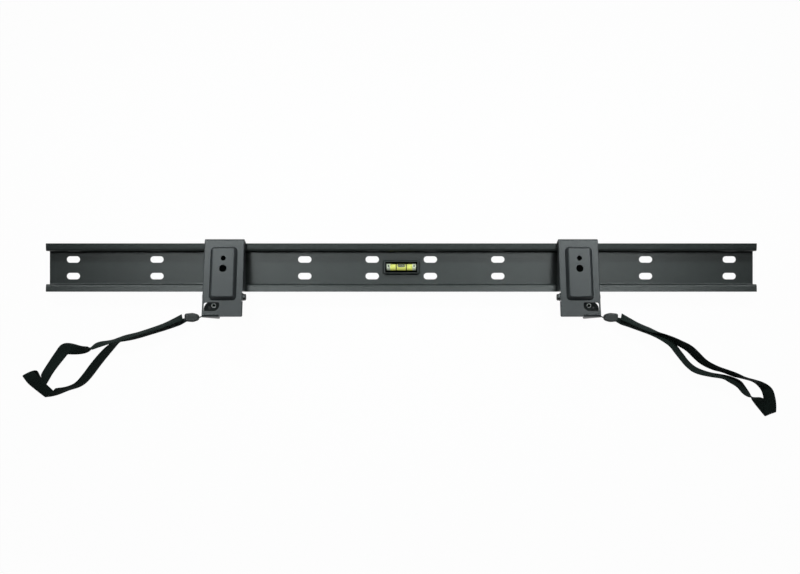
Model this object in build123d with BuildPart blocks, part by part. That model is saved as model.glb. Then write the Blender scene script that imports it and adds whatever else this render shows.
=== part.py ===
"""Fixed television wall bracket: a slotted wall rail with a spirit level, and two hook-on
television plates, each with a sprung latch that a pull strap releases.

The rail lies on its back as if the table were the wall: the wall face is Z = 0, +Z points out
of the wall, +Y points up the wall and X runs along the rail. Millimetres.
"""

import os
from math import atan2, cos, degrees, radians, sin, sqrt, tan

from build123d import *

os.makedirs("parts", exist_ok=True)

# Wall rail, one folded steel sheet of hat section
rail_length = 870.0
rail_height = 59.2
rail_depth = 20.0
rail_sheet = 2.0
channel_height = 40.6
rail_bend = 1.0
rail_corner = 0.6
lip_flare = 5.0
slot_length = 16.6
slot_width = 8.0
slot_rows = 20.6
slot_inner = (36.0, 119.5, 302.5)
slot_end = 29.0

# Spirit level, set in the middle of the rail
level_rise = 0.6
holder_length = 45.4
holder_height = 17.8
holder_stand = 6.0
holder_corner = 3.0
holder_bevel = 1.6
pocket_length = 39.7
pocket_height = 13.2
pocket_floor = 4.2
boss_length = 38.0
boss_height = 12.0
boss_corner = 2.0
vial_length = 36.0
vial_diameter = 8.5
vial_wall = 0.45
vial_stand = 4.2
plug_length = 4.4
plug_dimple = 1.4
dimple_rise = 1.5
mark_spacing = 12.5
mark_width = 1.1
mark_thickness = 0.12
bubble_length = 9.4
bubble_depth = 4.0
bubble_corner = 2.4

# Television plates, folded steel, hooked over the rail and leaning on their latches
plate_sheet = 2.0
plate_centre = 214.8
plate_width = 48.5
plate_drop = 95.4
lean = 15.0
wall_depth = 10.0
hook_margin = 1.8
hook_play = 0.9
fold_inside = 1.0
edge_bend = 1.0
pad_width = 32.8
pad_height = 67.0
pad_stand = 6.0
pad_run = 3.2
pad_corner = 5.5
pad_drop = 8.6
pad_blend = 1.8
screw_small = 6.2
screw_large = 9.0
screw_small_drop = 24.4
screw_pitch = 12.9
window_width = 18.8
window_height = 10.9
window_corner = 2.2
window_sweep = 7.0
window_rim = 1.9
window_sill = 6.6
tab_depth = 12.0
tab_taper = 7.0
tab_inside = 1.0
tab_chamfer = 2.0
guard_depth = 3.0
guard_height = 8.0
foot_corner = 1.6

# Latch, a folded lever on a rivet across the two ears
pin_drop = 70.0
pin_back = 6.5
pin_diameter = 4.8
rivet_head = 8.0
rivet_stand = 3.3
rivet_round = 1.4
rivet_tail = 7.2
rivet_tail_stand = 0.6
ear_height = 9.0
ear_relief = 2.1
notch_depth = 1.2
lever_sheet = 1.8
lever_width = 24.0
lever_boss = 8.0
catch_overlap = 4.5
nose_slope = 45.0
nose_drop = 5.0
nose_tip = 3.5
arm_lean = 30.0
arm_length = 15.0
arm_outer = 23.6
arm_inner = 20.0
arm_corner = 4.0
arm_sweep = 9.7
eyelet_side = 11.3
eyelet_along = 4.5
eyelet_bore = 3.4
eyelet_rim = 5.8
eyelet_lip = 0.6
eyelet_floor = 0.6
cord_side = 16.2
cord_along = 7.0
cord_bore = 2.2
knot_diameter = 3.0
spring_wire = 1.2
spring_turns = 4
spring_leg_up = 10.0
spring_leg_down = 11.0
spring_room = 1.2

# Pull straps, lying on the surface beside the plates
cord_diameter = 1.6
cord_lead = 9.0
clasp_length = 18.0
clasp_width = 11.6
clasp_tip = 6.4
clasp_tail = 9.6
clasp_thickness = 7.0
clasp_shoulder = 0.42
clasp_nose = 4.0
clasp_bulge = 12.0
clasp_round = 2.4
clasp_edge = 2.0
clasp_place = (249.8, -61.5)
strap_width = 15.0
strap_thickness = 1.3

# Clearances
seat_gap = 0.05
rail_gap = 0.3
pin_gap = 0.08
running_gap = 0.3

# Route of the thin cord from below the latch arm to the clasp, for the right side
cord_route = [(236.5, -53.5, 19.5), (243.8, -59.5, 8.3), (250.3, -61.6, 3.3)]

# Routes of the two straps over the surface, middle of the webbing, as (X, Y)
stem_route = {
    "left": [(-281.0, -61.5), (-299.0, -70.5), (-318.5, -79.0), (-336.0, -84.0), (-352.5, -90.5)],
    "right": [(278.0, -61.5), (291.0, -67.5), (304.5, -75.5), (319.5, -80.5)],
}
loop_out = {
    "left": [
        (-381.0, -94.5), (-407.0, -97.0), (-431.0, -109.0), (-449.0, -131.0), (-456.0, -147.0),
        (-446.0, -160.0), (-428.0, -158.0),
    ],
    "right": [
        (349.0, -91.5), (379.0, -111.0), (414.0, -130.0), (447.0, -142.0), (461.0, -157.0),
        (458.0, -173.0), (443.0, -178.0), (427.0, -168.0),
    ],
}
loop_back = {
    "left": [(-407.0, -148.5), (-382.0, -136.0), (-365.0, -113.0), (-353.5, -91.5)],
    "right": [
        (408.0, -150.0), (385.0, -138.0), (362.0, -125.5), (339.0, -104.5), (320.5, -81.5),
    ],
}

# Derived sizes of the rail and the lean
lip_back = rail_depth - rail_sheet
lip_slope = tan(radians(lip_flare))
slot_places = (*slot_inner, rail_length / 2 - slot_end)
half_channel = channel_height / 2
half_flange = half_channel + rail_sheet
half_rail = rail_height / 2
half_plate = plate_width / 2
rail_bend_outside = rail_bend + rail_sheet
fold_outside = fold_inside + plate_sheet
hook_reach = half_rail - half_flange - rail_bend - hook_margin
hook_gap = (
    rail_sheet * cos(radians(lean))
    + hook_reach * (sin(radians(lean)) + lip_slope)
    + hook_play
)
hook_depth = wall_depth + hook_gap + plate_sheet
hook_stand = (
    lip_back - rail_gap
    - hook_reach * (sin(radians(lean)) + cos(radians(lean)) * lip_slope)
    + (wall_depth + hook_gap) * cos(radians(lean))
)
hook_rise = half_rail + rail_gap + (hook_stand - lip_back) * tan(radians(lean))
spring_radius = pin_back - plate_sheet - spring_wire / 2 - pin_gap
arm_offset = spring_radius - spring_wire / 2 - pin_gap


def leaning(side, across=0.0):
    """The front face of a television plate: origin under its hook, local Y up the plate."""
    tilt = radians(lean)
    middle = (side * (plate_centre + across), hook_rise, hook_stand)
    return Plane(origin=middle, x_dir=(1, 0, 0), z_dir=(0, sin(tilt), cos(tilt)))


def profile(side, across):
    """A plane square to the rail: its X is up the plate, its Y is out of the front face."""
    front = leaning(side, across)
    return Plane(origin=front.origin, x_dir=front.y_dir, z_dir=front.x_dir)


def in_plate(up_wall, off_wall):
    """A point of the rail's section as (up the plate, out of the front face)."""
    tilt = radians(lean)
    rise = up_wall - hook_rise
    stand = off_wall - hook_stand
    return rise * cos(tilt) - stand * sin(tilt), rise * sin(tilt) + stand * cos(tilt)


def at(places, found):
    """The vertices of a sketch that stand at the given places."""
    return [v for v in found if any(abs(v.X - x) + abs(v.Y - y) < 0.001 for x, y in places)]


def save(piece, name):
    """Label a finished piece and write it out."""
    piece.part.label = name
    export_step(piece.part, f"parts/{name}.step")


# Wall rail
with BuildPart() as wall_rail:
    front_root = rail_depth - (half_rail - half_channel) * lip_slope
    back_root = lip_back - (half_rail - half_flange) * lip_slope
    front_bends = [(-half_channel, front_root), (half_channel, front_root)]
    wall_bends = [(-half_flange, 0), (half_flange, 0)]
    web_bends = [(-half_channel, rail_sheet), (half_channel, rail_sheet)]
    lip_bends = [(-half_flange, back_root), (half_flange, back_root)]
    with BuildSketch(Plane.YZ) as hat:
        with BuildLine():
            Polyline(
                (-half_rail, rail_depth), front_bends[0], web_bends[0], web_bends[1],
                front_bends[1], (half_rail, rail_depth), (half_rail, lip_back), lip_bends[1],
                wall_bends[1], wall_bends[0], lip_bends[0], (-half_rail, lip_back), close=True,
            )
        make_face()
        fillet(at(front_bends + wall_bends, hat.vertices()), radius=rail_bend_outside)
        fillet(at(web_bends + lip_bends, hat.vertices()), radius=rail_bend)
    extrude(amount=rail_length / 2, both=True)
    tips = wall_rail.edges().filter_by(Axis.Z)
    fillet([e for e in tips if abs(e.center().Y) > half_flange + rail_bend], radius=rail_corner)
    with BuildSketch() as web_cuts:
        for place in slot_places:
            with GridLocations(2 * place, slot_rows, 2, 2):
                SlotOverall(slot_length, slot_width)
        with Locations((0, level_rise)):
            RectangleRounded(boss_length, boss_height, boss_corner)
    extrude(amount=rail_sheet, mode=Mode.SUBTRACT)
save(wall_rail, "wall_rail")

# Spirit level: a moulded holder, the vial with its plugs, liquid and marks
vial_radius = vial_diameter / 2
vial_axis = rail_sheet + vial_stand
tube_length = vial_length - 2 * plug_length
across_vial = Plane(origin=(0, level_rise, vial_axis), x_dir=(0, 1, 0), z_dir=(1, 0, 0))

with BuildPart() as level_holder:
    with BuildSketch(Plane.XY.offset(rail_sheet)):
        with Locations((0, level_rise)):
            RectangleRounded(holder_length, holder_height, holder_corner)
    extrude(amount=holder_stand)
    chamfer(level_holder.faces().sort_by(Axis.Z)[-1].edges(), length=holder_bevel)
    with BuildSketch(Plane.XY.offset(seat_gap)):
        with Locations((0, level_rise)):
            RectangleRounded(
                boss_length - 2 * seat_gap, boss_height - 2 * seat_gap, boss_corner - seat_gap
            )
    extrude(amount=rail_sheet)
    with BuildSketch(Plane.XY.offset(pocket_floor)):
        with Locations((0, level_rise)):
            RectangleRounded(pocket_length, pocket_height, holder_corner - holder_bevel)
    extrude(amount=rail_sheet + holder_stand, mode=Mode.SUBTRACT)
    with BuildSketch(across_vial):
        Circle(vial_radius + mark_thickness + seat_gap)
    extrude(amount=vial_length / 2 + seat_gap, both=True, mode=Mode.SUBTRACT)
save(level_holder, "level_holder")

with BuildPart() as level_vial:
    with BuildSketch(across_vial):
        Circle(vial_radius)
        Circle(vial_radius - vial_wall, mode=Mode.SUBTRACT)
    extrude(amount=tube_length / 2, both=True)
save(level_vial, "level_vial")

with BuildPart() as level_liquid:
    with BuildSketch(across_vial):
        Circle(vial_radius - vial_wall - seat_gap / 2)
    extrude(amount=tube_length / 2, both=True)
    liquid_top = level_rise + vial_radius - vial_wall
    with BuildSketch(Plane.XY.offset(vial_axis)):
        with Locations((0, liquid_top)):
            RectangleRounded(bubble_length, 2 * bubble_depth, bubble_corner)
    extrude(amount=vial_radius, both=True, mode=Mode.SUBTRACT)
save(level_liquid, "level_liquid")

for side, word in ((-1, "left"), (1, "right")):
    plug_place = side * (tube_length + plug_length) / 2
    with BuildPart() as level_plug:
        with BuildSketch(across_vial.offset(plug_place)):
            Circle(vial_radius)
        extrude(amount=plug_length / 2, both=True)
        with BuildSketch(Plane.XY.offset(vial_axis)):
            with Locations((plug_place, level_rise + dimple_rise)):
                Circle(plug_dimple / 2)
        extrude(amount=vial_radius, mode=Mode.SUBTRACT)
    save(level_plug, f"level_plug_{word}")

with BuildPart() as level_marks:
    for side in (-1, 1):
        with BuildSketch(across_vial.offset(side * mark_spacing / 2)):
            Circle(vial_radius + mark_thickness)
            Circle(vial_radius, mode=Mode.SUBTRACT)
        extrude(amount=mark_width / 2, both=True)
save(level_marks, "level_marks")

# Where the latch meets the rail, seen in the plate's own section
lip_edge = -(rail_height + rail_gap)
catch_front = -(wall_depth + rail_sheet + 2 * rail_gap)
catch_top = lip_edge + catch_overlap
corner_up, corner_out = in_plate(-half_rail, rail_depth)
nose_clear = rail_gap / sin(radians(nose_slope))
nose_run = 1 / tan(radians(nose_slope))
nose_top_out = corner_out + nose_clear + (catch_top - corner_up) * nose_run
nose_low = catch_top - nose_drop
nose_low_out = nose_top_out - nose_drop * nose_run
pin_place = (-pin_drop, -pin_back)
arm_down = (-cos(radians(arm_lean)), -sin(radians(arm_lean)))
arm_out = (-sin(radians(arm_lean)), cos(radians(arm_lean)))
arm_start = lever_boss / 2 + lever_sheet / 2


def on_arm(along, out=0.0):
    """A point of the latch arm's section, measured from its upper edge and its front face."""
    down = arm_start + along
    rise = out + arm_offset
    return (
        pin_place[0] + down * arm_down[0] + rise * arm_out[0],
        pin_place[1] + down * arm_down[1] + rise * arm_out[1],
    )


def arm_plane(side, out=0.0):
    """The front face of the latch arm: local X along the rail, local Y up the arm."""
    section = profile(side, 0)
    middle = section.from_local_coords((*on_arm(0, out), 0))
    tip = section.from_local_coords((*on_arm(1, out), 0))
    upward = middle - tip
    return Plane(origin=middle, x_dir=(1, 0, 0), z_dir=Vector(1, 0, 0).cross(upward))


def folded_plate(side):
    """Television plate: hook, pad, side walls, ears, window and cord tab in one folded sheet."""
    front = leaning(side)
    wall_skew = half_plate - plate_sheet / 2
    hook_back = -hook_depth
    pad_taper = degrees(atan2(pad_run, pad_stand))
    pad_inset = plate_sheet * tan(radians(90 - pad_taper) / 2)
    pad_middle = -(pad_drop + pad_height / 2)
    foot_side = Align.MAX if side > 0 else Align.MIN
    tab_inner = half_plate - window_rim - window_width
    above_ear = -(pin_drop - ear_height / 2 - ear_relief)
    window_outer = side * (half_plate - window_rim)
    window_low = window_sill - plate_drop
    wall_heel = in_plate(-half_rail, rail_depth + rail_gap)
    with BuildPart() as plate:
        with BuildSketch(profile(side, 0)) as fold:
            with BuildLine():
                Polyline(
                    (-plate_drop, 0), (plate_sheet, 0), (plate_sheet, hook_back),
                    (-hook_reach, hook_back), (-hook_reach, hook_back + plate_sheet),
                    (0, hook_back + plate_sheet), (0, -plate_sheet), (-plate_drop, -plate_sheet),
                    close=True,
                )
            make_face()
            outside = [(plate_sheet, 0), (plate_sheet, hook_back)]
            inside = [(0, hook_back + plate_sheet), (0, -plate_sheet)]
            fillet(at(outside, fold.vertices()), radius=fold_outside)
            fillet(at(inside, fold.vertices()), radius=fold_inside)
        extrude(amount=half_plate, both=True)
        for across in (-wall_skew, wall_skew):
            with BuildSketch(profile(side, across)):
                with BuildLine():
                    Polyline(
                        (-fold_outside, 0), (-fold_outside, -wall_depth), wall_heel,
                        (above_ear, -plate_sheet), (above_ear, 0), close=True,
                    )
                make_face()
                with Locations((-pin_drop, 0)):
                    Rectangle(ear_height, pin_back, align=(Align.CENTER, Align.MAX))
                with Locations(pin_place):
                    Circle(ear_height / 2)
            extrude(amount=plate_sheet / 2, both=True)
        sides = plate.edges().filter_by(Axis((0, 0, 0), tuple(front.y_dir)))
        bends = [e for e in sides if abs(front.to_local_coords(e.center()).Z) < 0.001]
        fillet(bends, radius=edge_bend)
        with BuildSketch(front):
            with Locations((0, pad_middle)):
                RectangleRounded(pad_width, pad_height, pad_corner)
        extrude(amount=pad_stand, taper=pad_taper)
        pad_face = [f for f in plate.faces() if abs(front.to_local_coords(f.center()).Z - pad_stand) < 0.001]
        fillet(pad_face[0].edges(), radius=pad_blend)
        with BuildSketch(front.offset(-plate_sheet)):
            with Locations((0, pad_middle)):
                RectangleRounded(
                    pad_width - 2 * pad_inset, pad_height - 2 * pad_inset, pad_corner - pad_inset
                )
        extrude(amount=pad_stand, taper=pad_taper, mode=Mode.SUBTRACT)
        with BuildSketch(front.offset(pad_stand)):
            with Locations((0, -screw_small_drop)):
                Circle(screw_small / 2)
            with Locations((0, -screw_small_drop - screw_pitch)):
                Circle(screw_large / 2)
        extrude(amount=-pad_stand - 2 * plate_sheet, mode=Mode.SUBTRACT)
        with BuildSketch(profile(side, wall_skew)):
            with Locations((-plate_drop, 0)):
                Rectangle(guard_height, guard_depth, align=(Align.MIN, Align.MAX))
        extrude(amount=plate_sheet / 2, both=True)
        with BuildSketch(front) as window:
            with BuildLine():
                Polyline(
                    (side * tab_inner, window_low), (window_outer, window_low),
                    (window_outer, window_low + window_height),
                    (side * tab_inner, window_low + window_height), close=True,
                )
            make_face()
            swept = at([(side * tab_inner, window_low)], window.vertices())
            square = [v for v in window.vertices() if v not in swept]
            fillet(square, radius=window_corner)
            fillet(at([(side * tab_inner, window_low)], window.vertices()), radius=window_sweep)
        extrude(amount=-wall_depth, mode=Mode.SUBTRACT)
        with BuildSketch(front):
            with Locations((-side * half_plate, -pin_drop)):
                Rectangle(2 * notch_depth, ear_height + 2 * ear_relief)
            with Locations((-side * (half_plate - foot_corner), foot_corner - plate_drop)):
                Rectangle(foot_corner, foot_corner, align=(foot_side, Align.MAX))
                Circle(foot_corner, mode=Mode.SUBTRACT)
        extrude(amount=-plate_sheet, mode=Mode.SUBTRACT)
        tab_plane = Plane(
            origin=front.from_local_coords((0, -plate_drop, 0)), x_dir=(1, 0, 0),
            z_dir=front.y_dir,
        )
        with BuildSketch(tab_plane):
            with BuildLine():
                Polyline(
                    (side * half_plate, 0), (side * tab_inner, 0),
                    (side * tab_inner, tab_depth - tab_chamfer),
                    (side * (tab_inner + tab_chamfer), tab_depth),
                    (side * half_plate, tab_depth - tab_taper), close=True,
                )
            make_face()
        extrude(amount=plate_sheet)
        tab_outside = tab_inside + plate_sheet
        tab_corner = (tab_outside - plate_drop, -tab_outside)
        tab_clear = half_plate - plate_sheet
        with BuildSketch(profile(side, (tab_inner + tab_clear) / 2)):
            with Locations(tab_corner):
                Rectangle(tab_inside, tab_inside, align=(Align.MAX, Align.MIN))
                Circle(tab_inside, mode=Mode.SUBTRACT)
        extrude(amount=(tab_clear - tab_inner) / 2, both=True)
        with BuildSketch(profile(side, (tab_inner + half_plate) / 2)):
            with Locations(tab_corner):
                Rectangle(tab_outside, tab_outside, align=(Align.MAX, Align.MIN))
                Circle(tab_outside, mode=Mode.SUBTRACT)
        extrude(amount=(half_plate - tab_inner) / 2, both=True, mode=Mode.SUBTRACT)
        with BuildSketch(profile(side, 0)):
            with Locations(pin_place):
                Circle(pin_diameter / 2 + pin_gap)
        extrude(amount=plate_width, both=True, mode=Mode.SUBTRACT)
    return plate


def latch_lever(side):
    """Latch: two hooked cheeks on the rivet, joined by the arm that the cord pulls."""
    cheek_middle = lever_width / 2 - lever_sheet / 2
    arm_front = on_arm(lever_sheet / 2)
    arm_rear = on_arm(lever_sheet / 2, -lever_sheet)
    boss = lever_boss / 2
    arm_ends = [
        (side * arm_outer, 0), (side * arm_outer, -arm_length),
        (-side * arm_inner, -arm_length), (-side * arm_inner, 0),
    ]
    with BuildPart() as lever:
        for across in (-cheek_middle, cheek_middle):
            with BuildSketch(profile(side, across)):
                with BuildLine():
                    Polyline(
                        (catch_top, catch_front), (catch_top, nose_top_out),
                        (nose_low, nose_low_out), (nose_low - nose_tip, nose_low_out),
                        arm_rear, arm_front, (-pin_drop - boss, -pin_back),
                        (-pin_drop + boss, -pin_back), (lip_edge - 2 * rail_gap, catch_front),
                        close=True,
                    )
                make_face()
                with Locations(pin_place):
                    Circle(boss)
            extrude(amount=lever_sheet / 2, both=True)
        with BuildSketch(arm_plane(side)) as arm:
            with BuildLine():
                Polyline(*arm_ends, close=True)
            make_face()
            fillet(at(arm_ends[1:], arm.vertices()), radius=arm_corner)
            fillet(at(arm_ends[:1], arm.vertices()), radius=arm_sweep)
            with Locations((side * eyelet_side, -eyelet_along)):
                Circle(eyelet_bore / 2 + eyelet_lip, mode=Mode.SUBTRACT)
            with Locations((side * cord_side, -cord_along)):
                Circle(cord_bore / 2, mode=Mode.SUBTRACT)
        extrude(amount=-lever_sheet)
        with BuildSketch(profile(side, 0)):
            with Locations(pin_place):
                Circle(pin_diameter / 2 + pin_gap)
        extrude(amount=plate_width, both=True, mode=Mode.SUBTRACT)
    return lever


def pivot_rivet(side):
    """Rivet through both ears, its round-edged head towards the middle of the rail."""
    middle = profile(side, 0).from_local_coords((*pin_place, 0))
    lying = Plane(origin=middle, x_dir=(-side, 0, 0), z_dir=(0, 0, 1))
    seat = half_plate + seat_gap
    shank = pin_diameter / 2
    head = rivet_head / 2
    tail = rivet_tail / 2
    head_end = seat + rivet_stand
    tail_end = -seat - rivet_tail_stand
    with BuildPart() as rivet:
        with BuildSketch(lying) as half:
            with BuildLine():
                Polyline(
                    (head_end, 0), (tail_end, 0), (tail_end, tail), (-seat, tail), (-seat, shank),
                    (seat, shank), (seat, head), (head_end, head), close=True,
                )
            make_face()
            fillet(at([(head_end, head)], half.vertices()), radius=rivet_round)
        revolve(axis=Axis(lying.origin, lying.x_dir))
    return rivet


def latch_spring(side):
    """Torsion spring round the rivet: one leg up behind the plate, one down the latch arm."""
    section = profile(side, 0)
    first = lever_width / 2 + spring_wire / 2 + spring_room
    last = half_plate - plate_sheet - spring_wire / 2 - spring_room
    start = section.from_local_coords((*pin_place, -side * first))
    arm_way = section.from_local_coords((*arm_out, 0)) - section.origin
    axle = Plane(origin=start, x_dir=arm_way, z_dir=(-side, 0, 0))
    turns = spring_turns + arm_lean / 360
    pitch = (last - first) / turns
    coil = axle * Helix(pitch, last - first, spring_radius, lefthand=side < 0)
    with BuildPart() as spring:
        with BuildLine() as wire:
            Line((coil @ 0) - (coil % 0) * spring_leg_down, coil @ 0)
            add(coil)
            Line(coil @ 1, (coil @ 1) + (coil % 1) * spring_leg_up)
        path = wire.wire()
        with BuildSketch(Plane(origin=path @ 0, z_dir=path % 0)):
            Circle(spring_wire / 2)
        sweep(path=path, is_frenet=True)
    return spring


def cord_eyelet(side):
    """Bright hollow rivet in the latch arm beside the cord hole, closed at the back."""
    face = arm_plane(side)
    middle = face.from_local_coords((side * eyelet_side, -eyelet_along, 0))
    cut = Plane(origin=middle, x_dir=(1, 0, 0), z_dir=face.y_dir)
    barrel = eyelet_bore / 2 + eyelet_lip - seat_gap
    back = lever_sheet + eyelet_lip
    with BuildPart() as eyelet:
        with BuildSketch(cut):
            with BuildLine():
                Polyline(
                    (0, back), (eyelet_rim / 2, back), (eyelet_rim / 2, lever_sheet),
                    (barrel, lever_sheet), (barrel, 0), (eyelet_rim / 2, 0),
                    (eyelet_rim / 2, -eyelet_lip), (eyelet_bore / 2, -eyelet_lip),
                    (eyelet_bore / 2, back - eyelet_floor), (0, back - eyelet_floor), close=True,
                )
            make_face()
        revolve(axis=Axis(middle, face.z_dir))
    return eyelet


def cord_knot(side):
    """Knot that stops the cord in the latch arm, with the cord's end through the arm."""
    face = arm_plane(side)
    seat = sqrt(knot_diameter**2 - cord_bore**2) / 2 + seat_gap
    with BuildPart() as knot:
        with Locations(face.from_local_coords((side * cord_side, -cord_along, seat))):
            Sphere(knot_diameter / 2)
        with BuildSketch(face.offset(seat)):
            with Locations((side * cord_side, -cord_along)):
                Circle(cord_diameter / 2)
        extrude(amount=-seat - lever_sheet - running_gap)
    return knot


def round_corners(points):
    """A radius for each corner of a route, as large as the two runs beside it allow."""
    radii = []
    for before, here, after in zip(points, points[1:], points[2:]):
        coming = Vector(here) - Vector(before)
        going = Vector(after) - Vector(here)
        half_turn = radians(coming.get_angle(going)) / 2
        radii.append(0.45 * min(coming.length, going.length) / tan(half_turn))
    return radii


def pull_cord(side):
    """Thin cord from the latch arm down to the strap's clasp."""
    face = arm_plane(side, -lever_sheet)
    leaves = face.from_local_coords((side * cord_side, -cord_along, -running_gap - seat_gap))
    first = leaves - face.z_dir * cord_lead
    route = [leaves, first] + [Vector(side * x, y, z) for x, y, z in cord_route]
    radii = round_corners(route)
    print(f"pull cord, side {side}: radii", [round(r, 1) for r in radii])
    with BuildPart() as cord:
        with BuildLine():
            line = FilletPolyline(*route, radius=radii)
        with BuildSketch(Plane(origin=leaves, z_dir=first - leaves)):
            Circle(cord_diameter / 2)
        sweep(path=line)
    print("  length", round(line.length, 1), "volume", round(cord.part.volume, 1))
    return cord


def strap_clasp(side):
    """Moulded clasp that joins the cord to the webbing."""
    tip_x, tip_y = clasp_place
    base = Plane(origin=(side * tip_x, tip_y, 0), x_dir=(side, 0, 0), z_dir=(0, 0, 1))
    shoulder = clasp_shoulder * clasp_length
    nose = [(0, clasp_tip / 2), (0, -clasp_tip / 2)]
    bulge = [(shoulder, clasp_width / 2), (shoulder, -clasp_width / 2)]
    rear = [(clasp_length, clasp_tail / 2), (clasp_length, -clasp_tail / 2)]
    with BuildPart() as clasp:
        with BuildSketch(base) as outline:
            with BuildLine():
                Polyline(
                    nose[0], bulge[0], rear[0], rear[1], bulge[1], nose[1], close=True,
                )
            make_face()
            fillet(at(nose, outline.vertices()), radius=clasp_nose)
            fillet(at(bulge, outline.vertices()), radius=clasp_bulge)
            fillet(at(rear, outline.vertices()), radius=clasp_round)
        extrude(amount=clasp_thickness)
        fillet(clasp.faces().sort_by(Axis.Z)[-1].edges(), radius=clasp_edge)
        fillet(clasp.faces().sort_by(Axis.Z)[0].edges(), radius=clasp_edge)
    return clasp


def pull_strap(side, word):
    """Webbing: a doubled stem out of the clasp that opens into a loop, lying flat."""
    tail = (side * (clasp_place[0] + clasp_length + seat_gap), clasp_place[1])
    stem = [tail] + stem_route[word]
    halfway = tuple((Vector(loop_out[word][-1]) + Vector(loop_back[word][0])) / 2)[:2]
    going = stem + loop_out[word] + [halfway]
    coming = [halfway] + loop_back[word]
    lengths = []
    with BuildPart() as strap:
        for route, layer in ((going, 0), (coming, 0), (stem, 1)):
            with BuildSketch(Plane.XY.offset(layer * strap_thickness)):
                with BuildLine():
                    line = FilletPolyline(*route, radius=round_corners(route))
                trace(line_width=strap_width)
            extrude(amount=strap_thickness)
            lengths.append(line.length)
    print(f"strap {word}: radii", [round(r) for r in round_corners(stem + loop_out[word] + loop_back[word])])
    print("  webbing length", round(sum(lengths), 1))
    return strap


for side, word in ((-1, "left"), (1, "right")):
    save(folded_plate(side), f"hook_plate_{word}")
    save(latch_lever(side), f"latch_lever_{word}")
    save(pivot_rivet(side), f"pivot_rivet_{word}")
    save(latch_spring(side), f"latch_spring_{word}")
    save(cord_eyelet(side), f"cord_eyelet_{word}")
    save(cord_knot(side), f"cord_knot_{word}")
    save(pull_cord(side), f"pull_cord_{word}")
    save(strap_clasp(side), f"strap_clasp_{word}")
    save(pull_strap(side, word), f"pull_strap_{word}")
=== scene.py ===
"""The looks of the fixed television wall bracket: finishes, straps, cords, springs, floor, light, camera.

Everything is in metres in the part's own frame: X along the rail, Y up the wall, Z out of the wall.
"""

import math

import bmesh
import bpy
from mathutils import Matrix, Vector


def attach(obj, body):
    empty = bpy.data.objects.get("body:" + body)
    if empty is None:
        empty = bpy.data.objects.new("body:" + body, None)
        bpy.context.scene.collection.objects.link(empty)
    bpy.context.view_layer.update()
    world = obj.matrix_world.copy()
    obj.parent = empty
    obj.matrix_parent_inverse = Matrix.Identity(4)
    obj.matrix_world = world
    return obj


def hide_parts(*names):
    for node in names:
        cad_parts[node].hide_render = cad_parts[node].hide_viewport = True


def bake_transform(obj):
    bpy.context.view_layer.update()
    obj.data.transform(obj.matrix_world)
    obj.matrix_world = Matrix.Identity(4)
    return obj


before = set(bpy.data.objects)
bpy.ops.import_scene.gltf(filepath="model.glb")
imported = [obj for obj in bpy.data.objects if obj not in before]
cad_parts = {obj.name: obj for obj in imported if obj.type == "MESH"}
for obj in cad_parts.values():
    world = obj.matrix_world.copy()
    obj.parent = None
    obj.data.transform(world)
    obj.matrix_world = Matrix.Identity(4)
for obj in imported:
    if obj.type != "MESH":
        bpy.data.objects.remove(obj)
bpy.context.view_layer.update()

MM = 0.001
SIDES = ("left", "right")

# Camera, as the photograph was taken: square on to the rail
CAMERA_PLACE = (-1.6 * MM, -23.8 * MM, 1558 * MM)
CAMERA_FIELD = math.radians(35.30)
CAMERA_REACH = 20.0

# Floor: its reach and its drop below the part in metres, its own grey, and the share shown as plain white
FLOOR_REACH = 15.0
FLOOR_DROP = 0.2 * MM
FLOOR_GREY = (0.9, 0.9, 0.9, 1)
FLOOR_WHITE = 0.975

# Room: the share of the way up and the grey there, first its pale walls, then its dark ceiling
ROOM_GREYS = ((0.15, 0.6), (0.55, 0.02))

# Lamps of the right half in metres, watts and degrees of beam; the left half mirrors them
LAMPS = {
    "front": {
        "place": (0.43, 0.27, 1.50), "target": (0.17, 0.05, 0),
        "width": 0.36, "height": 0.40, "power": 0.155, "beam": 22,
    },
    "strip": {
        "place": (0.45, 0.62, 0.72), "target": (0.24, -0.03, 0),
        "width": 0.50, "height": 0.15, "power": 0.54, "beam": 60,
    },
}

# The lamps are a little cooler than white
LAMP_COLOUR = (0.93, 1.0, 1.0)

# Webbing straps: 15 mm wide, laid from the clasp out round the loop and back to the clasp
STRAP_WIDTH = 15.0 * MM
STRAP_THICK = 1.3 * MM
STRAP_BOW = 0.5 * MM
STRAP_STEPS = 10
CLASP_SHARE = 0.40
CLASP_RUN = 14.0 * MM

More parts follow.
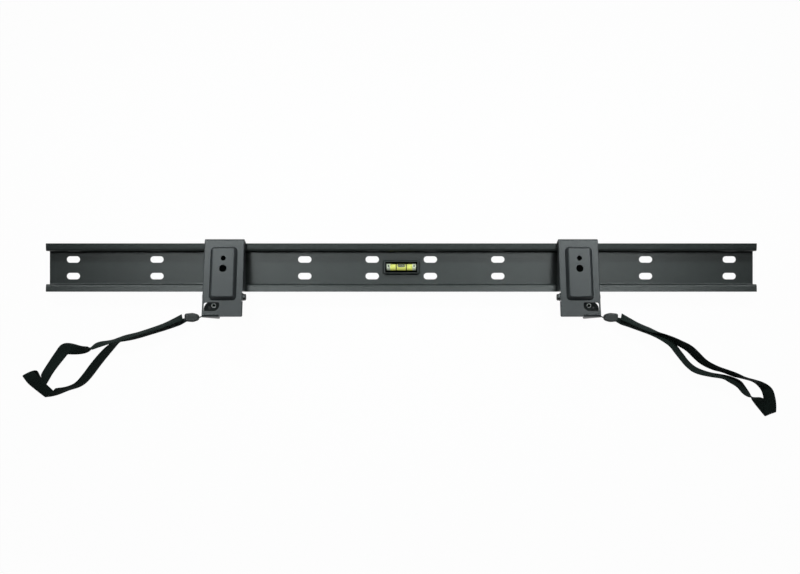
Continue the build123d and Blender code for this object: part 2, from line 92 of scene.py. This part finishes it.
# Each row: x, y, z in mm, then one edge's bearing and lift in degrees; a row given twice makes a crease
STRAP_ROUTE = {
    "left": [
        (-263, -63, 3.5, 110, -45), (-272, -67, 7.2, 110, -62), (-288, -73.5, 7.5, 110, -68),
        (-304, -78.5, 8, 109, -70), (-326, -85.5, 8, 108, -72), (-341, -88.8, 8, 106, -76),
        (-350, -91.5, 8, -60, -82), (-358, -97, 7, -35, -58), (-374, -115, 6.8, -36, -50),
        (-390, -137, 7, -32, -50), (-399, -145, 7.5, -50, -62), (-411.5, -149, 8, -75, -71),
        (-424, -152.5, 6.8, -82, -52), (-435.4, -156, 3.4, -142, -17), (-435.4, -156, 3.4, -142, -17),
        (-447.5, -144, 9, -138, -5), (-452.5, -137.5, 16, -142, 0), (-458, -130, 16, -156, 0),
        (-458, -130, 16, -156, 0), (-458.5, -129.5, 8, -156, 0), (-456, -131, 3, -150, 0),
        (-452, -140, 2, -135, 0), (-446, -146, 2, -95, 5), (-441, -136, 4, -39, 22),
        (-433, -123, 4.5, -33, 27), (-419, -104.2, 4.5, -22, 6), (-419, -104.2, 4.5, -22, 6),
        (-415.3, -100.3, 5.8, -64, 0), (-409, -100.1, 7, -114, -8), (-409, -100.1, 7, -114, -8),
        (-398.4, -101.5, 6, -104, -36), (-391, -101.5, 6.8, -98, -50), (-384.5, -100, 7.5, -95, -66),
        (-381.5, -98.6, 8, 98, -66), (-374, -95, 7.5, 102, -60), (-358, -91.5, 8, 105, -76),
        (-348, -88.6, 9, 112, -68), (-341, -86.2, 9.3, 108, -67), (-333, -84, 9.5, 106, -70),
        (-326, -82.2, 9.5, 107, -72), (-316, -79, 9.8, 108, -72), (-304, -75.3, 10, 110, -70),
        (-288, -69.6, 10, 112, -68), (-270, -61, 8, 118, -58),
    ],
    "right": [
        (262, -62.5, 3.2, -114, 40), (275, -67.5, 7.2, -114, 60), (288, -73, 7.5, -115, 66),
        (300, -77.5, 8, -116, 68), (307, -80, 8.5, -116, 66), (314, -82.5, 9.8, -116, 60),
        (321, -85.5, 10.5, -117, 52), (332, -92, 10, -124, 46), (339, -101, 7, -138, 50),
        (346, -110, 7, -142, 50), (353, -119, 7, -138, 53), (363, -127, 7, -125, 56),
        (381, -132, 8, -110, 70), (396, -134, 8, -100, 72), (404, -137, 7, -122, 57),
        (417, -143, 6, -130, 44), (422, -150, 6, -138, 44), (428, -156.5, 7, -144, 58),
        (433, -159.5, 8, 180, 86), (438.5, -161, 7, 20, 45), (446, -168.5, 4, 18, 15),
        (456.6, -180.8, 1.5, 21, 0), (456.6, -180.8, 1.5, 21, 0), (456.6, -180.8, 3.6, 21, 0),
        (456.6, -180.8, 3.6, 21, 0), (455, -170, 7, 8, 15), (453, -160, 11, 2, 34),
        (451, -152, 11, 12, 36), (448, -147, 8, 35, 53), (441, -142, 8, 50, 70),
        (434, -139, 8, 60, 80), (422, -136, 8, 66, 80), (411, -132, 8, 64, 66),
        (398, -127, 8, 65, 71), (387, -124, 8, 62, 64), (373, -117, 7, 50, 59),
        (363, -107, 7, 46, 54), (355, -99, 7, 56, 56), (343, -93, 7.2, 68, 60),
        (333, -87.5, 7.8, 64, 69), (320, -81, 8, 120, 86), (308, -77.3, 8.8, -117, 68),
        (300, -74.5, 9.2, -116, 66), (291, -70.5, 9.5, -116, 66), (283, -66.5, 9.5, -115, 62),
        (271, -60, 8.5, -118, 58),
    ],
}

# Thin pull cords: from the knot at the latch's eyelet down to the clasp, right side, in mm
CORD_ROUTE = [
    (231.0, -47.92, 39.77), (231.0, -45.59, 31.08), (236.5, -53.5, 19.5),
    (243.8, -59.5, 8.3), (250.3, -61.6, 3.3),
]
CORD_THICK = 1.6 * MM
CORD_STEPS = 24
CORD_SIDES = 20
CORD_STRANDS = 3
CORD_LAY = 5.0 * MM
CORD_GROOVE = 0.16


def linear(level):
    """A display level from 0 to 255 as a linear colour value."""
    share = level / 255
    return share / 12.92 if share <= 0.04045 else ((share + 0.055) / 1.055) ** 2.4


def colour(red, green, blue):
    """Three display levels as an opaque linear colour."""
    return (linear(red), linear(green), linear(blue), 1.0)


class Finish:
    """A material with one glossy shader, and short calls that wire patterns into it."""

    def __init__(self, name, base, roughness, metallic=0.0):
        self.material = bpy.data.materials.new(name)
        self.material.use_nodes = True
        self.nodes = self.material.node_tree.nodes
        self.shader = self.nodes["Principled BSDF"]
        self.set("Base Color", base)
        self.set("Roughness", roughness)
        self.set("Metallic", metallic)
        self.base = base
        self.roughness = roughness
        self.place = self.nodes.new("ShaderNodeTexCoord")

    def set(self, socket, value):
        self.shader.inputs[socket].default_value = value

    def wire(self, source, target):
        self.material.node_tree.links.new(source, target)

    def noise(self, scale, detail):
        """A cloudy pattern fixed to the piece."""
        node = self.nodes.new("ShaderNodeTexNoise")
        node.inputs["Scale"].default_value = scale
        node.inputs["Detail"].default_value = detail
        self.wire(self.place.outputs["Object"], node.inputs["Vector"])
        return node.outputs["Fac"]

    def spread(self, value, low, high):
        """The middle of a pattern stretched to the range from low to high."""
        node = self.nodes.new("ShaderNodeMapRange")
        node.inputs["From Min"].default_value = 0.3
        node.inputs["From Max"].default_value = 0.7
        node.inputs["To Min"].default_value = low
        node.inputs["To Max"].default_value = high
        self.wire(value, node.inputs["Value"])
        return node.outputs["Result"]

    def tint(self, value, dark, light):
        """Colours the base between two shares of its own colour, following a pattern."""
        node = self.nodes.new("ShaderNodeMix")
        node.data_type = "RGBA"
        node.inputs["A"].default_value = (*[channel * dark for channel in self.base[:3]], 1)
        node.inputs["B"].default_value = (*[channel * light for channel in self.base[:3]], 1)
        self.wire(value, node.inputs["Factor"])
        self.wire(node.outputs["Result"], self.shader.inputs["Base Color"])

    def mottle(self, scale, detail, dark, light):
        """Colours the base in soft patches between two shares of its own colour."""
        self.tint(self.spread(self.noise(scale, detail), low=0, high=1), dark, light)

    def blend(self, value, other):
        """Goes from the base's present look to another plain colour where a mask is 1."""
        target = self.shader.inputs["Base Color"]
        node = self.nodes.new("ShaderNodeMix")
        node.data_type = "RGBA"
        node.inputs["B"].default_value = other
        self.wire(target.links[0].from_socket, node.inputs["A"])
        self.wire(value, node.inputs["Factor"])
        self.wire(node.outputs["Result"], target)

    def math(self, operation, first, second=None):
        """A calculation on one or two values, each a socket or a number."""
        node = self.nodes.new("ShaderNodeMath")
        node.operation = operation
        for socket, value in zip(node.inputs, (first, second)):
            if isinstance(value, (int, float)):
                socket.default_value = value
            elif value is not None:
                self.wire(value, socket)
        return node.outputs[0]

    def disc(self, over, rise, radius):
        """A mask that is 1 inside a disc, from the distances to its middle both ways."""
        squares = self.math("ADD", self.math("POWER", over, 2.0), self.math("POWER", rise, 2.0))
        return self.math("LESS_THAN", squares, radius ** 2)

    def axes(self, coordinate="Object"):
        """The three parts of a coordinate."""
        node = self.nodes.new("ShaderNodeSeparateXYZ")
        self.wire(self.place.outputs[coordinate], node.inputs["Vector"])
        return node.outputs

    def grain(self, value, change):
        """Varies the roughness by a pattern."""
        varied = self.spread(value, self.roughness - change, self.roughness + change)
        self.wire(varied, self.shader.inputs["Roughness"])

    def bump(self, value, depth, strength):
        """Raises the surface's shading by a pattern."""
        node = self.nodes.new("ShaderNodeBump")
        node.inputs["Strength"].default_value = strength
        node.inputs["Distance"].default_value = depth
        self.wire(value, node.inputs["Height"])
        self.wire(node.outputs["Normal"], self.shader.inputs["Normal"])


def powder_coat(name, base, roughness):
    """Charcoal powder coat: a fine orange-peel skin with a slightly uneven tone."""
    finish = Finish(name, base, roughness)
    finish.mottle(scale=90, detail=4, dark=0.94, light=1.06)
    finish.grain(finish.noise(scale=400, detail=2), change=0.03)
    finish.bump(finish.noise(scale=1500, detail=2), depth=0.05 * MM, strength=0.3)
    return finish.material


def plain_metal(name, base, roughness, scale, depth):
    """Bare or oiled metal with fine tool marks."""
    finish = Finish(name, base, roughness, metallic=1.0)
    finish.mottle(scale=scale / 4, detail=3, dark=0.75, light=1.1)
    finish.grain(finish.noise(scale, detail=2), change=0.08)
    finish.bump(finish.noise(scale, detail=2), depth, strength=0.4)
    return finish.material


def rolled_eyelet(name):
    """Bright zinc on the rolled rim, with painted shade down inside the bore, which lies square to the
    leaning arm.
    """
    side, up, out, radius = 226.1 * MM, -45.9 * MM, 41.9 * MM, 1.75 * MM
    lean = math.radians(15)
    finish = Finish(name, colour(242, 244, 242), roughness=0.30, metallic=0.3)
    finish.mottle(scale=225, detail=3, dark=0.85, light=1.05)
    sideways, upward, outward = finish.axes()
    over = finish.math("SUBTRACT", finish.math("ABSOLUTE", sideways), side)
    rise = finish.math("MULTIPLY", finish.math("SUBTRACT", upward, up), math.cos(lean))
    fall = finish.math("MULTIPLY", finish.math("SUBTRACT", outward, out), math.sin(lean))
    # Painted shade: a disc across the bore is coloured near black, standing in for the shade down inside the
    # hole.
    finish.blend(finish.disc(over, finish.math("ADD", rise, fall), radius), colour(24, 26, 26))
    finish.bump(finish.noise(scale=900, detail=2), depth=0.03 * MM, strength=0.4)
    return finish.material


def moulded(name, base, roughness):
    """The start of a moulded plastic: a slightly uneven tone and a fine spark-eroded skin."""
    finish = Finish(name, base, roughness)
    finish.mottle(scale=300, detail=3, dark=0.85, light=1.15)
    finish.bump(finish.noise(scale=2200, detail=2), depth=0.06 * MM, strength=0.4)
    return finish


def moulded_plastic(name, base, roughness):
    """Moulded plastic whose gloss varies a little."""
    finish = moulded(name, base, roughness)
    finish.grain(finish.noise(scale=700, detail=2), change=0.06)
    return finish.material


def end_plug(name, base):
    """The level's pale end plugs, with painted shade down in the small dimple on the front of each."""
    side, up, radius = 15.8 * MM, 2.1 * MM, 1.0 * MM
    finish = moulded(name, base, roughness=0.4)
    sideways, upward, _ = finish.axes()
    over = finish.math("SUBTRACT", finish.math("ABSOLUTE", sideways), side)
    rise = finish.math("SUBTRACT", upward, up)
    # Painted shade: the dimple is coloured dark where shade falls in it.
    finish.blend(finish.disc(over, rise, radius), colour(30, 36, 30))
    finish.grain(finish.noise(scale=700, detail=2), change=0.06)
    return finish.material


def level_frame(name, base):
    """The level's holder: dark grey moulded frame, black inside the pocket of the vial."""
    half_length, half_height, rise = 19.8 * MM, 6.6 * MM, 0.6 * MM
    frame_gloss = 0.5
    finish = moulded(name, base, roughness=0.45)
    sideways, upward, _ = finish.axes()
    within_length = finish.math("LESS_THAN", finish.math("ABSOLUTE", sideways), half_length)
    from_middle = finish.math("ABSOLUTE", finish.math("SUBTRACT", upward, rise))
    within_height = finish.math("LESS_THAN", from_middle, half_height)
    pocket = finish.math("MULTIPLY", within_length, within_height)
    finish.blend(pocket, colour(4, 5, 4))
    gloss = finish.math("MULTIPLY", finish.math("SUBTRACT", 1.0, pocket), frame_gloss)
    finish.wire(gloss, finish.shader.inputs["Specular IOR Level"])
    return finish.material


def clear_plastic(name):
    """The vial: clear, so that the liquid shows through, with a sharp gloss."""
    finish = Finish(name, colour(240, 246, 235), roughness=0.06)
    finish.set("Alpha", 0.08)
    finish.grain(finish.noise(scale=500, detail=2), change=0.03)
    return finish.material


def level_liquid(name):
    """Yellow-green liquid with a painted glow: a little emission in its own colour stands in for the light
    that reaches it through the vial.
    """
    base = colour(222, 226, 96)
    finish = Finish(name, base, roughness=0.15)
    finish.mottle(scale=260, detail=2, dark=0.88, light=1.1)
    # Painted glow: the liquid emits a little of its own colour, though it is no lamp.
    finish.set("Emission Color", base)
    finish.set("Emission Strength", 0.30)
    return finish.material


def webbing(name):
    """Black woven webbing: ribs along it, crossed by a pick about every millimetre."""
    ribs_across = 11
    pick = 1.1 * MM
    finish = Finish(name, colour(36, 45, 42), roughness=0.70)
    finish.set("Sheen Weight", 0.03)
    finish.set("Sheen Roughness", 0.5)
    finish.set("Specular IOR Level", 0.03)
    along, over, _ = finish.axes("UV")
    picks = finish.math("SINE", finish.math("MULTIPLY", along, math.tau * STRAP_WIDTH / pick))
    ribs = finish.math("SINE", finish.math("MULTIPLY", over, math.tau * ribs_across))
    crossed = finish.math("MULTIPLY", picks, ribs)
    woven = finish.math("ADD", finish.math("MULTIPLY", crossed, 0.5), 0.5)
    finish.tint(woven, dark=0.7, light=1.3)
    finish.bump(woven, depth=0.18 * MM, strength=0.8)
    return finish.material


def twisted_fibre(name, base):
    """Thin twisted cord with a fuzz of fibres."""
    finish = Finish(name, base, roughness=0.7)
    finish.set("Sheen Weight", 0.2)
    finish.mottle(scale=1800, detail=3, dark=0.7, light=1.25)
    finish.bump(finish.noise(scale=4000, detail=2), depth=0.08 * MM, strength=0.6)
    return finish.material


def printed_ink(name):
    """The black of the level's two rings."""
    finish = Finish(name, colour(14, 14, 14), roughness=0.5)
    finish.mottle(scale=2500, detail=2, dark=0.8, light=1.3)
    return finish.material


finishes = {
    "rail_coat": powder_coat("rail_coat", colour(43, 49, 48), roughness=0.38),
    "plate_coat": powder_coat("plate_coat", colour(43, 48, 50), roughness=0.38),
    "latch_coat": powder_coat("latch_coat", colour(40, 45, 44), roughness=0.50),
    "rivet_steel": plain_metal(
        "rivet_steel", colour(78, 80, 80), roughness=0.42, scale=900, depth=0.03 * MM,
    ),
    "spring_steel": plain_metal(
        "spring_steel", colour(130, 130, 128), roughness=0.35, scale=1200, depth=0.02 * MM,
    ),
    "eyelet_zinc": rolled_eyelet("eyelet_zinc"),
    "cord_fibre": twisted_fibre("cord_fibre", colour(58, 60, 60)),
    "clasp_plastic": moulded_plastic("clasp_plastic", colour(52, 55, 54), roughness=0.45),
    "strap_webbing": webbing("strap_webbing"),
    "holder_plastic": level_frame("holder_plastic", colour(46, 52, 50)),
    "vial_clear": clear_plastic("vial_clear"),
    "level_liquid": level_liquid("level_liquid"),
    "plug_plastic": end_plug("plug_plastic", colour(218, 225, 200)),
    "mark_ink": printed_ink("mark_ink"),
}

node_finish = {
    "wall_rail": "rail_coat",
    "level_holder": "holder_plastic",
    "level_vial": "vial_clear",
    "level_liquid": "level_liquid",
    "level_plug_left": "plug_plastic",
    "level_plug_right": "plug_plastic",
    "level_marks": "mark_ink",
}
for side in SIDES:
    node_finish[f"hook_plate_{side}"] = "plate_coat"
    node_finish[f"pivot_rivet_{side}"] = "rivet_steel"
    node_finish[f"latch_spring_{side}"] = "spring_steel"
    node_finish[f"latch_lever_{side}"] = "latch_coat"
    node_finish[f"cord_eyelet_{side}"] = "eyelet_zinc"
    node_finish[f"cord_knot_{side}"] = "cord_fibre"
    node_finish[f"strap_clasp_{side}"] = "clasp_plastic"
for node, finish_name in node_finish.items():
    for material_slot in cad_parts[node].material_slots:
        material_slot.material = finishes[finish_name]


def smooth_line(places, steps):
    """Points along the smooth NURBS line that these control points steer."""
    curve = bpy.data.curves.new("route", "CURVE")
    curve.dimensions = "3D"
    spline = curve.splines.new("NURBS")
    spline.points.add(len(places) - 1)
    for point, place in zip(spline.points, places):
        point.co = (*place, 1.0)
    spline.order_u = 3
    spline.use_endpoint_u = True
    spline.resolution_u = steps
    holder = bpy.data.objects.new("route", curve)
    bpy.context.scene.collection.objects.link(holder)
    graph = bpy.context.evaluated_depsgraph_get()
    mesh = bpy.data.meshes.new_from_object(holder.evaluated_get(graph))
    line = [vertex.co.copy() for vertex in mesh.vertices]
    bpy.data.objects.remove(holder)
    bpy.data.curves.remove(curve)
    bpy.data.meshes.remove(mesh)
    return line


def directions(line):
    """The unit direction of a line at each of its points."""
    last = len(line) - 1
    ends = [(line[max(i - 1, 0)], line[min(i + 1, last)]) for i in range(len(line))]
    return [(after - before).normalized() for before, after in ends]


def lengths(line):
    """How far along the line each point lies."""
    run = [0.0]
    for before, after in zip(line, line[1:]):
        run.append(run[-1] + (after - before).length)
    return run


def skin(name, rings, marks, material):
    """A closed mesh over rings of points, with each point's place along and across as its UV."""
    shape = bmesh.new()
    layers = [[shape.verts.new(point) for point in ring] for ring in rings]
    uv_layer = shape.loops.layers.uv.new("UVMap")
    place = {}
    for layer, ring_marks in zip(layers, marks):
        place.update(zip(layer, ring_marks))
    count = len(layers[0])
    faces = [shape.faces.new(layers[0][::-1]), shape.faces.new(layers[-1])]
    for near, far in zip(layers, layers[1:]):
        for i in range(count):
            j = (i + 1) % count
            faces.append(shape.faces.new((near[i], near[j], far[j], far[i])))
    for face in faces:
        face.smooth = True
        for loop in face.loops:
            loop[uv_layer].uv = place[loop.vert]
    bmesh.ops.recalc_face_normals(shape, faces=shape.faces)
    mesh = bpy.data.meshes.new(name)
    shape.to_mesh(mesh)
    shape.free()
    mesh.materials.append(material)
    piece = bpy.data.objects.new(name, mesh)
    bpy.context.scene.collection.objects.link(piece)
    return piece


def across(bearing, lift):
    """The unit direction of a webbing edge from its bearing in plan and its lift, in degrees."""
    turn, rise = math.radians(bearing), math.radians(lift)
    return Vector((math.cos(turn) * math.cos(rise), math.sin(turn) * math.cos(rise), math.sin(rise)))


def webbing_section():
    """The webbing's section: shares of half its width and half its thickness, round at the edges."""
    columns = 8
    flatness = 6
    shares = [-math.cos(math.pi * i / columns) for i in range(columns + 1)]
    upper = [(share, math.sqrt(1 - share ** flatness)) for share in shares]
    lower = [(share, -thick) for share, thick in upper[-2:0:-1]]
    return upper + lower


def ease(share):
    """A share from 0 to 1 that starts and ends gently."""
    return share * share * (3 - 2 * share)


def pull_strap(side):
    """The webbing strap: narrow where it leaves the clasp, out along the stem, round the loop and back."""
    stations = STRAP_ROUTE[side]
    line = smooth_line([Vector(station[:3]) * MM for station in stations], STRAP_STEPS)
    leans = smooth_line([across(*station[3:]) for station in stations], STRAP_STEPS)
    section = webbing_section()
    rings, marks = [], []
    for point, along, lean, run in zip(line, directions(line), leans, lengths(line)):
        wide = lean.normalized()
        face = along.cross(wide).normalized()
        opening = CLASP_SHARE + (1 - CLASP_SHARE) * ease(min(run / CLASP_RUN, 1))
        rings.append([
            point + wide * (u * opening * STRAP_WIDTH / 2)
            + face * (v * STRAP_THICK / 2 + STRAP_BOW * (1 - u * u))
            for u, v in section
        ])
        marks.append([(run / STRAP_WIDTH, (u + 1) / 2) for u, v in section])
    piece = skin(f"webbing_strap_{side}", rings, marks, finishes["strap_webbing"])
    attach(piece, f"{side}_bracket")
    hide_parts(f"pull_strap_{side}")


def pull_cord(side, mirror):
    """The thin twisted cord, from the knot at the latch's eyelet down to the clasp."""
    line = smooth_line([Vector((x * mirror, y, z)) * MM for x, y, z in CORD_ROUTE], CORD_STEPS)
    rings, marks = [], []
    for point, along, run in zip(line, directions(line), lengths(line)):
        wide = along.cross(Vector((0, 1, 0))).normalized()
        face = along.cross(wide)
        ring, ring_marks = [], []
        for i in range(CORD_SIDES):
            turn = math.tau * i / CORD_SIDES
            strand = abs(math.sin(CORD_STRANDS / 2 * (turn - math.tau * run / CORD_LAY)))
            radius = CORD_THICK / 2 * (1 - CORD_GROOVE * (1 - strand))
            ring.append(point + (wide * math.cos(turn) + face * math.sin(turn)) * radius)
            ring_marks.append((run / CORD_THICK, i / CORD_SIDES))
        rings.append(ring)
        marks.append(ring_marks)
    piece = skin(f"thin_cord_{side}", rings, marks, finishes["cord_fibre"])
    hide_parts(f"pull_cord_{side}")
    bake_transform(piece)


def latch_spring(side):
    """The torsion spring as its own piece, a copy of the part's spring mesh."""
    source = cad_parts[f"latch_spring_{side}"]
    mesh = source.data.copy()
    piece = bpy.data.objects.new(f"torsion_spring_{side}", mesh)
    piece.matrix_world = source.matrix_world.copy()
    bpy.context.scene.collection.objects.link(piece)
    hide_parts(f"latch_spring_{side}")
    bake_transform(piece)


for side, mirror in zip(SIDES, (-1, 1)):
    pull_strap(side)
    pull_cord(side, mirror)
    latch_spring(side)


def floor():
    """A plain white floor just under the part. It shows white and keeps a soft shadow."""
    shape = bmesh.new()
    corners = ((-1, -1), (1, -1), (1, 1), (-1, 1))
    shape.faces.new([shape.verts.new((x * FLOOR_REACH, y * FLOOR_REACH, -FLOOR_DROP)) for x, y in corners])
    mesh = bpy.data.meshes.new("floor")
    shape.to_mesh(mesh)
    shape.free()
    finish = Finish("floor_white", FLOOR_GREY, roughness=0.9)
    finish.set("Specular IOR Level", 0.0)
    white = finish.nodes.new("ShaderNodeEmission")
    rays = finish.nodes.new("ShaderNodeLightPath").outputs
    seen = finish.math("MAXIMUM", rays["Is Camera Ray"], rays["Is Transmission Ray"])
    mirrored = finish.math("MAXIMUM", seen, rays["Is Glossy Ray"])
    mix = finish.nodes.new("ShaderNodeMixShader")
    finish.wire(finish.math("MULTIPLY", mirrored, FLOOR_WHITE), mix.inputs["Fac"])
    finish.wire(finish.shader.outputs["BSDF"], mix.inputs[1])
    finish.wire(white.outputs["Emission"], mix.inputs[2])
    finish.wire(mix.outputs["Shader"], finish.nodes["Material Output"].inputs["Surface"])
    mesh.materials.append(finish.material)
    piece = bpy.data.objects.new("floor", mesh)
    bpy.context.scene.collection.objects.link(piece)


def softbox(name, mirror, place, target, width, height, power, beam):
    """A soft lamp turned to a target, with its light kept to a beam, on the right or mirrored to the left."""
    flip = Vector((mirror, 1, 1))
    place, target = Vector(place) * flip, Vector(target) * flip
    light = bpy.data.lights.new(name, "AREA")
    light.shape = "RECTANGLE"
    light.size, light.size_y = width, height
    light.energy = power
    light.color = LAMP_COLOUR
    light.spread = math.radians(beam)
    lamp = bpy.data.objects.new(name, light)
    lamp.location = place
    lamp.rotation_euler = (target - place).to_track_quat("-Z", "Y").to_euler()
    bpy.context.scene.collection.objects.link(lamp)


def studio():
    """A dim room with pale walls, two softboxes in front and two strips above, each aimed at its own half."""
    world = bpy.data.worlds.new("studio")
    bpy.context.scene.world = world
    world.use_nodes = True
    nodes, links = world.node_tree.nodes, world.node_tree.links
    place = nodes.new("ShaderNodeTexCoord")
    split = nodes.new("ShaderNodeSeparateXYZ")
    ramp = nodes.new("ShaderNodeValToRGB")
    links.new(place.outputs["Generated"], split.inputs["Vector"])
    links.new(split.outputs["Z"], ramp.inputs["Fac"])
    for element, (height, grey) in zip(ramp.color_ramp.elements, ROOM_GREYS):
        element.position = height
        element.color = (grey, grey, grey, 1)
    links.new(ramp.outputs["Color"], nodes["Background"].inputs["Color"])
    for side, mirror in zip(SIDES, (-1, 1)):
        for kind, lamp in LAMPS.items():
            softbox(f"{kind}_{side}", mirror, **lamp)


def camera():
    """The camera looks straight down on the lying rail, square to it as in the photograph."""
    lens = bpy.data.cameras.new("camera")
    lens.sensor_fit = "HORIZONTAL"
    lens.angle = CAMERA_FIELD
    lens.clip_end = CAMERA_REACH
    stand = bpy.data.objects.new("camera", lens)
    stand.location = CAMERA_PLACE
    bpy.context.scene.collection.objects.link(stand)
    bpy.context.scene.camera = stand


floor()
studio()
camera()
bpy.context.scene.view_settings.view_transform = "Standard"
